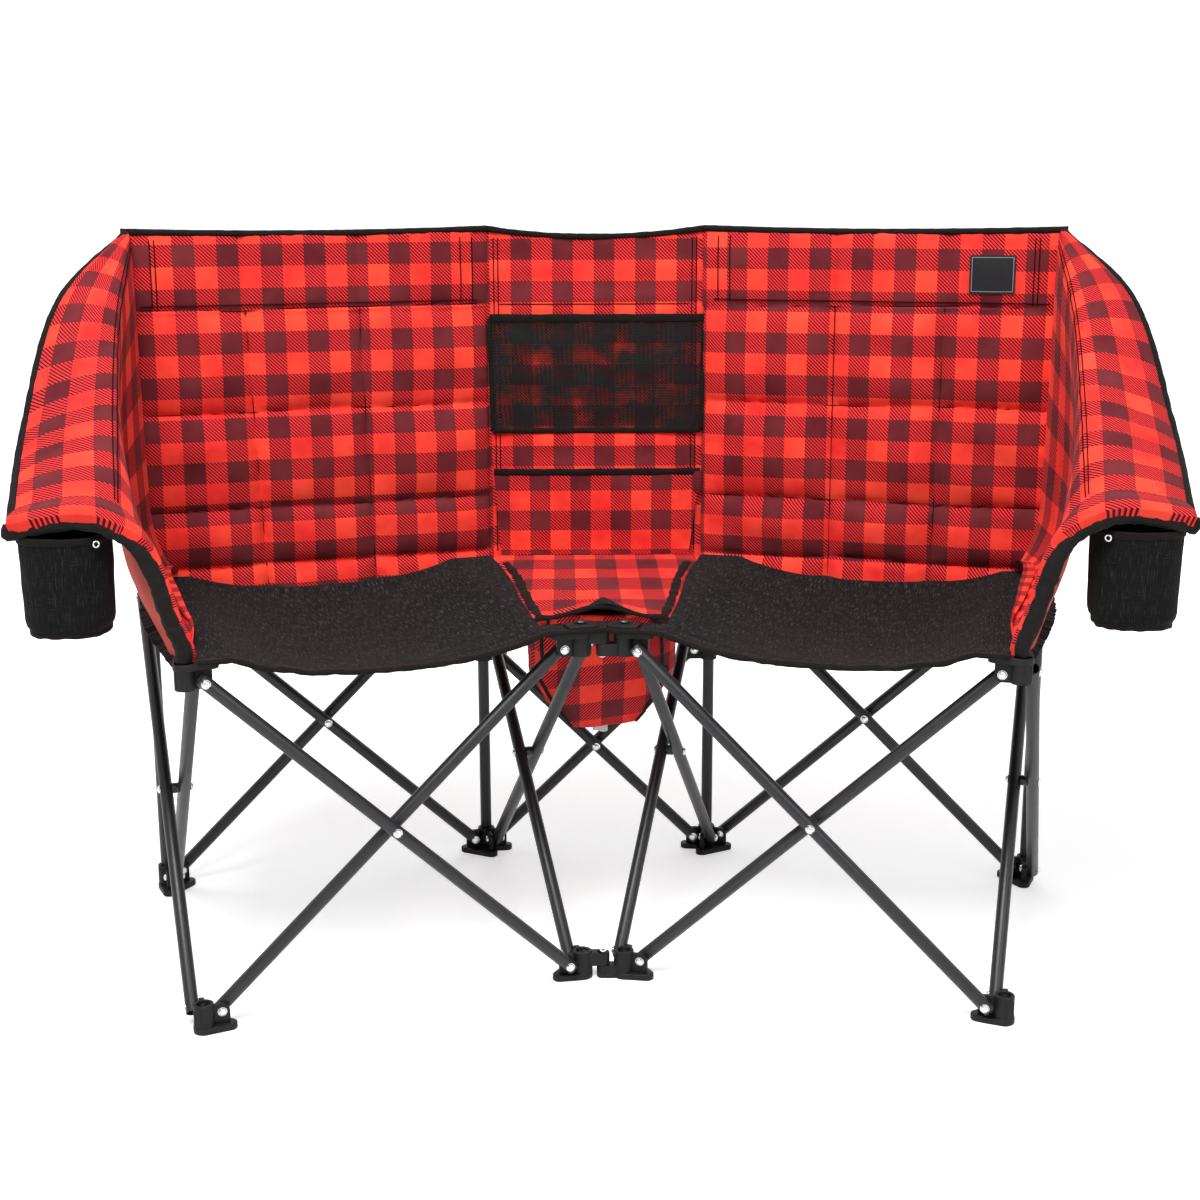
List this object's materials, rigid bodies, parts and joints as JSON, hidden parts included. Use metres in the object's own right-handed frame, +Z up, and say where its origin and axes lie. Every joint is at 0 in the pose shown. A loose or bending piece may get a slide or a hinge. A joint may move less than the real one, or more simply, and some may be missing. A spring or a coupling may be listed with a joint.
{
  "type": "folding camping loveseat",
  "caption": "Folding two-seat camp chair: linked scissor frames, a quilted plaid back, wing arms with drink holders, back pockets and a cooler bag between the seats.",
  "frame": {"origin": "on the floor, under the middle of the chair's outline seen from above", "axes": "+Z up, -Y towards where the sitters face, +X to the right as seen from the front"},
  "size_m": [1.3542, 0.6161, 0.9056],
  "materials": {
    "black_tube": "satin black powder coat on steel tube, with bright domed rivets",
    "black_plastic": "moulded black nylon",
    "steel": "bright zinc",
    "plaid_cloth": "red and black buffalo plaid polyester, quilted on the sides of the back",
    "black_cloth": "black heather polyester with grey flecks",
    "black_mesh": "black knitted mesh with a black binding",
    "label": "plain black woven patch with a thin grey border line"
  },
  "bodies": {
    "front_inner_feet": {"foot_front_inner_left": "black_plastic", "foot_front_inner_right": "black_plastic", "foot_link_pin": "steel"},
    "front_bar_inner_right": {"front_cross_right_tube_b": "black_tube"},
    "front_bar_outer_right": {"front_cross_right_tube_a": "black_tube"},
    "front_outer_foot_right": {"foot_front_outer_right": "black_plastic"},
    "front_inner_hub_right": {"hub_front_inner_right": "black_plastic"},
    "front_outer_hub_right": {"hub_front_outer_right": "black_plastic", "arm_post_right": "black_tube", "drink_holder_right": "black_cloth"},
    "inner_bar_front_right": {"inner_cross_right_tube_a": "black_tube"},
    "inner_bar_rear_right": {"inner_cross_right_tube_b": "black_tube"},
    "rear_inner_foot_right": {"foot_rear_inner_right": "black_plastic", "back_post_inner_right": "black_tube", "back_right": "plaid_cloth", "label_patch": "label"},
    "rear_inner_hub_right": {"hub_rear_inner_right": "black_plastic"},
    "outer_bar_front_right": {"outer_cross_right_tube_b": "black_tube"},
    "outer_bar_rear_right": {"outer_cross_right_tube_a": "black_tube"},
    "rear_outer_foot_right": {"foot_rear_outer_right": "black_plastic", "back_post_outer_right": "black_tube"},
    "rear_outer_hub_right": {"hub_rear_outer_right": "black_plastic"},
    "rear_bar_inner_right": {"rear_cross_right_tube_a": "black_tube"},
    "rear_bar_outer_right": {"rear_cross_right_tube_b": "black_tube"},
    "seat_front_right": {"seat_front_right": "black_cloth"},
    "seat_rear_right": {"seat_rear_right": "black_cloth"},
    "arm_right": {"arm_right": "plaid_cloth"},
    "front_bar_inner_left": {"front_cross_left_tube_a": "black_tube"},
    "front_bar_outer_left": {"front_cross_left_tube_b": "black_tube"},
    "front_outer_foot_left": {"foot_front_outer_left": "black_plastic"},
    "front_inner_hub_left": {"hub_front_inner_left": "black_plastic", "hub_link_pin": "steel"},
    "front_outer_hub_left": {"hub_front_outer_left": "black_plastic", "arm_post_left": "black_tube", "drink_holder_left": "black_cloth"},
    "inner_bar_front_left": {"inner_cross_left_tube_b": "black_tube"},
    "inner_bar_rear_left": {"inner_cross_left_tube_a": "black_tube"},
    "rear_inner_foot_left": {"foot_rear_inner_left": "black_plastic", "back_post_inner_left": "black_tube", "back_left": "plaid_cloth", "back_centre": "plaid_cloth", "mesh_pocket": "black_mesh", "slip_pocket": "plaid_cloth"},
    "rear_inner_hub_left": {"hub_rear_inner_left": "black_plastic"},
    "outer_bar_front_left": {"outer_cross_left_tube_a": "black_tube"},
    "outer_bar_rear_left": {"outer_cross_left_tube_b": "black_tube"},
    "rear_outer_foot_left": {"foot_rear_outer_left": "black_plastic", "back_post_outer_left": "black_tube"},
    "rear_outer_hub_left": {"hub_rear_outer_left": "black_plastic"},
    "rear_bar_inner_left": {"rear_cross_left_tube_b": "black_tube"},
    "rear_bar_outer_left": {"rear_cross_left_tube_a": "black_tube"},
    "seat_front_left": {"seat_front_left": "black_cloth"},
    "seat_rear_left": {"seat_rear_left": "black_cloth"},
    "arm_left": {"arm_left": "plaid_cloth"},
    "middle_bar_left": {"middle_cross_tube_b": "black_tube"},
    "middle_bar_right": {"middle_cross_tube_a": "black_tube"},
    "slider_right": {"slider_right": "black_plastic"},
    "slider_left": {"slider_left": "black_plastic"},
    "cooler_bag": {"cooler_bag": "plaid_cloth"},
    "cooler_lid": {"cooler_lid": "plaid_cloth"}
  },
  "joints": [
    {"name": "frame_fold", "type": "hinge", "parent": "front_inner_feet", "child": "front_bar_inner_right", "pos_m": [0.04605, -0.16101, 0.023], "axis": [-0.2974, -0.9548, 0], "range_deg": [0, 42], "deforming": ["seat_front_left", "seat_rear_left", "back_left", "arm_left", "seat_front_right", "seat_rear_right", "back_right", "arm_right", "back_centre", "mesh_pocket", "slip_pocket", "label_patch", "cooler_bag", "cooler_lid"]},
    {"name": "front_bar_inner_right_crossing", "type": "hinge", "parent": "front_bar_inner_right", "child": "front_bar_outer_right", "pos_m": [0.24703, -0.22361, 0.223], "axis": [-0.2974, -0.9548, 0], "range_deg": [-84.02, 0]},
    {"name": "front_outer_foot_right_pivot", "type": "hinge", "parent": "front_bar_outer_right", "child": "front_outer_foot_right", "pos_m": [0.448, -0.2862, 0.023], "axis": [-0.2974, -0.9548, 0], "range_deg": [0, 42.02]},
    {"name": "front_inner_hub_right_pivot", "type": "hinge", "parent": "front_bar_outer_right", "child": "front_inner_hub_right", "pos_m": [0.04605, -0.16101, 0.423], "axis": [-0.2974, -0.9548, 0], "range_deg": [0, 42.02]},
    {"name": "front_outer_hub_right_pivot", "type": "hinge", "parent": "front_bar_inner_right", "child": "front_outer_hub_right", "pos_m": [0.448, -0.2862, 0.423], "axis": [-0.2974, -0.9548, 0], "range_deg": [-42.02, 0]},
    {"name": "inner_bar_front_right_foot_pivot", "type": "hinge", "parent": "front_inner_feet", "child": "inner_bar_front_right", "pos_m": [0.03225, -0.13471, 0.023], "axis": [0.9548, -0.2974, 0], "range_deg": [0, 42.02]},
    {"name": "inner_bar_front_right_crossing", "type": "hinge", "parent": "inner_bar_front_right", "child": "inner_bar_rear_right", "pos_m": [0.09484, 0.06626, 0.223], "axis": [0.9548, -0.2974, 0], "range_deg": [-84.02, 0]},
    {"name": "rear_inner_foot_right_pivot", "type": "hinge", "parent": "inner_bar_rear_right", "child": "rear_inner_foot_right", "pos_m": [0.15744, 0.26724, 0.023], "axis": [0.9548, -0.2974, 0], "range_deg": [0, 42.02]},
    {"name": "rear_inner_hub_right_pivot", "type": "hinge", "parent": "inner_bar_front_right", "child": "rear_inner_hub_right", "pos_m": [0.15744, 0.26724, 0.423], "axis": [0.9548, -0.2974, 0], "range_deg": [-42.02, 0]},
    {"name": "outer_bar_front_right_foot_pivot", "type": "hinge", "parent": "front_outer_foot_right", "child": "outer_bar_front_right", "pos_m": [0.4743, -0.2724, 0.023], "axis": [0.9548, -0.2974, 0], "range_deg": [0, 42.02]},
    {"name": "outer_bar_front_right_crossing", "type": "hinge", "parent": "outer_bar_front_right", "child": "outer_bar_rear_right", "pos_m": [0.5369, -0.07142, 0.223], "axis": [0.9548, -0.2974, 0], "range_deg": [-84.02, 0]},
    {"name": "rear_outer_foot_right_pivot", "type": "hinge", "parent": "outer_bar_rear_right", "child": "rear_outer_foot_right", "pos_m": [0.59949, 0.12956, 0.023], "axis": [0.9548, -0.2974, 0], "range_deg": [0, 42.02]},
    {"name": "rear_outer_hub_right_pivot", "type": "hinge", "parent": "outer_bar_front_right", "child": "rear_outer_hub_right", "pos_m": [0.59949, 0.12956, 0.423], "axis": [0.9548, -0.2974, 0], "range_deg": [-42.02, 0]},
    {"name": "rear_bar_inner_right_foot_pivot", "type": "hinge", "parent": "rear_inner_foot_right", "child": "rear_bar_inner_right", "pos_m": [0.18374, 0.28105, 0.023], "axis": [-0.2974, -0.9548, 0], "range_deg": [0, 42.02]},
    {"name": "rear_bar_inner_right_crossing", "type": "hinge", "parent": "rear_bar_inner_right", "child": "rear_bar_outer_right", "pos_m": [0.38471, 0.21845, 0.223], "axis": [-0.2974, -0.9548, 0], "range_deg": [-84.02, 0]},
    {"name": "seat_front_right_drop", "type": "hinge", "parent": "front_inner_hub_right", "child": "seat_front_right", "pos_m": [0.03195, -0.13567, 0.4473], "axis": [0.9548, -0.2974, 0], "range_deg": [-78.02, 0]},
    {"name": "seat_rear_right_drop", "type": "hinge", "parent": "rear_inner_hub_right", "child": "seat_rear_right", "pos_m": [0.15774, 0.2682, 0.4473], "axis": [0.9548, -0.2974, 0], "range_deg": [0, 78.02]},
    {"name": "arm_right_tilt", "type": "hinge", "parent": "rear_outer_foot_right", "child": "arm_right", "pos_m": [0.60574, 0.14961, 0.675], "axis": [0.9548, -0.2974, 0], "range_deg": [-18.02, 0]},
    {"name": "front_bar_inner_left_foot_pivot", "type": "hinge", "parent": "front_inner_feet", "child": "front_bar_inner_left", "pos_m": [-0.04605, -0.16101, 0.023], "axis": [-0.2974, 0.9548, 0], "range_deg": [0, 42.02]},
    {"name": "front_bar_inner_left_crossing", "type": "hinge", "parent": "front_bar_inner_left", "child": "front_bar_outer_left", "pos_m": [-0.24703, -0.22361, 0.223], "axis": [-0.2974, 0.9548, 0], "range_deg": [-84.02, 0]},
    {"name": "front_outer_foot_left_pivot", "type": "hinge", "parent": "front_bar_outer_left", "child": "front_outer_foot_left", "pos_m": [-0.448, -0.2862, 0.023], "axis": [-0.2974, 0.9548, 0], "range_deg": [0, 42.02]},
    {"name": "front_inner_hub_left_pivot", "type": "hinge", "parent": "front_bar_outer_left", "child": "front_inner_hub_left", "pos_m": [-0.04605, -0.16101, 0.423], "axis": [-0.2974, 0.9548, 0], "range_deg": [0, 42.02]},
    {"name": "front_outer_hub_left_pivot", "type": "hinge", "parent": "front_bar_inner_left", "child": "front_outer_hub_left", "pos_m": [-0.448, -0.2862, 0.423], "axis": [-0.2974, 0.9548, 0], "range_deg": [-42.02, 0]},
    {"name": "inner_bar_front_left_foot_pivot", "type": "hinge", "parent": "front_inner_feet", "child": "inner_bar_front_left", "pos_m": [-0.03225, -0.13471, 0.023], "axis": [0.9548, 0.2974, 0], "range_deg": [0, 42.02]},
    {"name": "inner_bar_front_left_crossing", "type": "hinge", "parent": "inner_bar_front_left", "child": "inner_bar_rear_left", "pos_m": [-0.09484, 0.06626, 0.223], "axis": [0.9548, 0.2974, 0], "range_deg": [-84.02, 0]},
    {"name": "rear_inner_foot_left_pivot", "type": "hinge", "parent": "inner_bar_rear_left", "child": "rear_inner_foot_left", "pos_m": [-0.15744, 0.26724, 0.023], "axis": [0.9548, 0.2974, 0], "range_deg": [0, 42.02]},
    {"name": "rear_inner_hub_left_pivot", "type": "hinge", "parent": "inner_bar_front_left", "child": "rear_inner_hub_left", "pos_m": [-0.15744, 0.26724, 0.423], "axis": [0.9548, 0.2974, 0], "range_deg": [-42.02, 0]},
    {"name": "outer_bar_front_left_foot_pivot", "type": "hinge", "parent": "front_outer_foot_left", "child": "outer_bar_front_left", "pos_m": [-0.4743, -0.2724, 0.023], "axis": [0.9548, 0.2974, 0], "range_deg": [0, 42.02]},
    {"name": "outer_bar_front_left_crossing", "type": "hinge", "parent": "outer_bar_front_left", "child": "outer_bar_rear_left", "pos_m": [-0.5369, -0.07142, 0.223], "axis": [0.9548, 0.2974, 0], "range_deg": [-84.02, 0]},
    {"name": "rear_outer_foot_left_pivot", "type": "hinge", "parent": "outer_bar_rear_left", "child": "rear_outer_foot_left", "pos_m": [-0.59949, 0.12956, 0.023], "axis": [0.9548, 0.2974, 0], "range_deg": [0, 42.02]},
    {"name": "rear_outer_hub_left_pivot", "type": "hinge", "parent": "outer_bar_front_left", "child": "rear_outer_hub_left", "pos_m": [-0.59949, 0.12956, 0.423], "axis": [0.9548, 0.2974, 0], "range_deg": [-42.02, 0]},
    {"name": "rear_bar_inner_left_foot_pivot", "type": "hinge", "parent": "rear_inner_foot_left", "child": "rear_bar_inner_left", "pos_m": [-0.18374, 0.28105, 0.023], "axis": [-0.2974, 0.9548, 0], "range_deg": [0, 42.02]},
    {"name": "rear_bar_inner_left_crossing", "type": "hinge", "parent": "rear_bar_inner_left", "child": "rear_bar_outer_left", "pos_m": [-0.38471, 0.21845, 0.223], "axis": [-0.2974, 0.9548, 0], "range_deg": [-84.02, 0]},
    {"name": "seat_front_left_drop", "type": "hinge", "parent": "front_inner_hub_left", "child": "seat_front_left", "pos_m": [-0.03195, -0.13567, 0.4473], "axis": [0.9548, 0.2974, 0], "range_deg": [-78.02, 0]},
    {"name": "seat_rear_left_drop", "type": "hinge", "parent": "rear_inner_hub_left", "child": "seat_rear_left", "pos_m": [-0.15774, 0.2682, 0.4473], "axis": [0.9548, 0.2974, 0], "range_deg": [0, 78.02]},
    {"name": "arm_left_tilt", "type": "hinge", "parent": "rear_outer_foot_left", "child": "arm_left", "pos_m": [-0.60574, 0.14961, 0.675], "axis": [0.9548, 0.2974, 0], "range_deg": [-18.02, 0]},
    {"name": "middle_bar_left_foot_pivot", "type": "hinge", "parent": "rear_inner_foot_left", "child": "middle_bar_left", "pos_m": [-0.14269, 0.28729, 0.023], "axis": [0, -1, 0], "range_deg": [0, 36.58]},
    {"name": "middle_bar_right_foot_pivot", "type": "hinge", "parent": "rear_inner_foot_right", "child": "middle_bar_right", "pos_m": [0.14269, 0.28729, 0.023], "axis": [0, 1, 0], "range_deg": [0, 36.58]},
    {"name": "slider_right_pivot", "type": "hinge", "parent": "middle_bar_left", "child": "slider_right", "pos_m": [0.14269, 0.28729, 0.304], "axis": [0, -1, 0], "range_deg": [-36.58, 0]},
    {"name": "slider_left_pivot", "type": "hinge", "parent": "middle_bar_right", "child": "slider_left", "pos_m": [-0.14269, 0.28729, 0.304], "axis": [0, 1, 0], "range_deg": [-36.58, 0]},
    {"name": "cooler_bag_drop", "type": "hinge", "parent": "front_inner_hub_left", "child": "cooler_bag", "pos_m": [0, -0.11476, 0.445], "axis": [1, 0, 0], "range_deg": [-80.02, 0]},
    {"name": "cooler_lid_hinge", "type": "hinge", "parent": "cooler_bag", "child": "cooler_lid", "pos_m": [0, 0.26869, 0.4473], "axis": [-1, 0, 0], "range_deg": [0, 75], "deforming": ["cooler_lid"]}
  ],
  "couplings": [
    {"joint": "front_bar_inner_right_crossing", "follows": "frame_fold", "ratio": -2},
    {"joint": "front_outer_foot_right_pivot", "follows": "frame_fold", "ratio": 1},
    {"joint": "front_inner_hub_right_pivot", "follows": "frame_fold", "ratio": 1},
    {"joint": "front_outer_hub_right_pivot", "follows": "frame_fold", "ratio": -1},
    {"joint": "inner_bar_front_right_foot_pivot", "follows": "frame_fold", "ratio": 1},
    {"joint": "inner_bar_front_right_crossing", "follows": "frame_fold", "ratio": -2},
    {"joint": "rear_inner_foot_right_pivot", "follows": "frame_fold", "ratio": 1},
    {"joint": "rear_inner_hub_right_pivot", "follows": "frame_fold", "ratio": -1},
    {"joint": "outer_bar_front_right_foot_pivot", "follows": "frame_fold", "ratio": 1},
    {"joint": "outer_bar_front_right_crossing", "follows": "frame_fold", "ratio": -2},
    {"joint": "rear_outer_foot_right_pivot", "follows": "frame_fold", "ratio": 1},
    {"joint": "rear_outer_hub_right_pivot", "follows": "frame_fold", "ratio": -1},
    {"joint": "rear_bar_inner_right_foot_pivot", "follows": "frame_fold", "ratio": 1},
    {"joint": "rear_bar_inner_right_crossing", "follows": "frame_fold", "ratio": -2},
    {"joint": "seat_front_right_drop", "follows": "frame_fold", "ratio": -1.8571},
    {"joint": "seat_rear_right_drop", "follows": "frame_fold", "ratio": 1.8571},
    {"joint": "arm_right_tilt", "follows": "frame_fold", "ratio": -0.42857},
    {"joint": "front_bar_inner_left_foot_pivot", "follows": "frame_fold", "ratio": 1},
    {"joint": "front_bar_inner_left_crossing", "follows": "frame_fold", "ratio": -2},
    {"joint": "front_outer_foot_left_pivot", "follows": "frame_fold", "ratio": 1},
    {"joint": "front_inner_hub_left_pivot", "follows": "frame_fold", "ratio": 1},
    {"joint": "front_outer_hub_left_pivot", "follows": "frame_fold", "ratio": -1},
    {"joint": "inner_bar_front_left_foot_pivot", "follows": "frame_fold", "ratio": 1},
    {"joint": "inner_bar_front_left_crossing", "follows": "frame_fold", "ratio": -2},
    {"joint": "rear_inner_foot_left_pivot", "follows": "frame_fold", "ratio": 1},
    {"joint": "rear_inner_hub_left_pivot", "follows": "frame_fold", "ratio": -1},
    {"joint": "outer_bar_front_left_foot_pivot", "follows": "frame_fold", "ratio": 1},
    {"joint": "outer_bar_front_left_crossing", "follows": "frame_fold", "ratio": -2},
    {"joint": "rear_outer_foot_left_pivot", "follows": "frame_fold", "ratio": 1},
    {"joint": "rear_outer_hub_left_pivot", "follows": "frame_fold", "ratio": -1},
    {"joint": "rear_bar_inner_left_foot_pivot", "follows": "frame_fold", "ratio": 1},
    {"joint": "rear_bar_inner_left_crossing", "follows": "frame_fold", "ratio": -2},
    {"joint": "seat_front_left_drop", "follows": "frame_fold", "ratio": -1.8571},
    {"joint": "seat_rear_left_drop", "follows": "frame_fold", "ratio": 1.8571},
    {"joint": "arm_left_tilt", "follows": "frame_fold", "ratio": -0.42857},
    {"joint": "middle_bar_left_foot_pivot", "follows": "frame_fold", "ratio": 0.87036},
    {"joint": "middle_bar_right_foot_pivot", "follows": "frame_fold", "ratio": 0.87036},
    {"joint": "slider_right_pivot", "follows": "frame_fold", "ratio": -0.87036},
    {"joint": "slider_left_pivot", "follows": "frame_fold", "ratio": -0.87036},
    {"joint": "cooler_bag_drop", "follows": "frame_fold", "ratio": -1.9048}
  ]
}
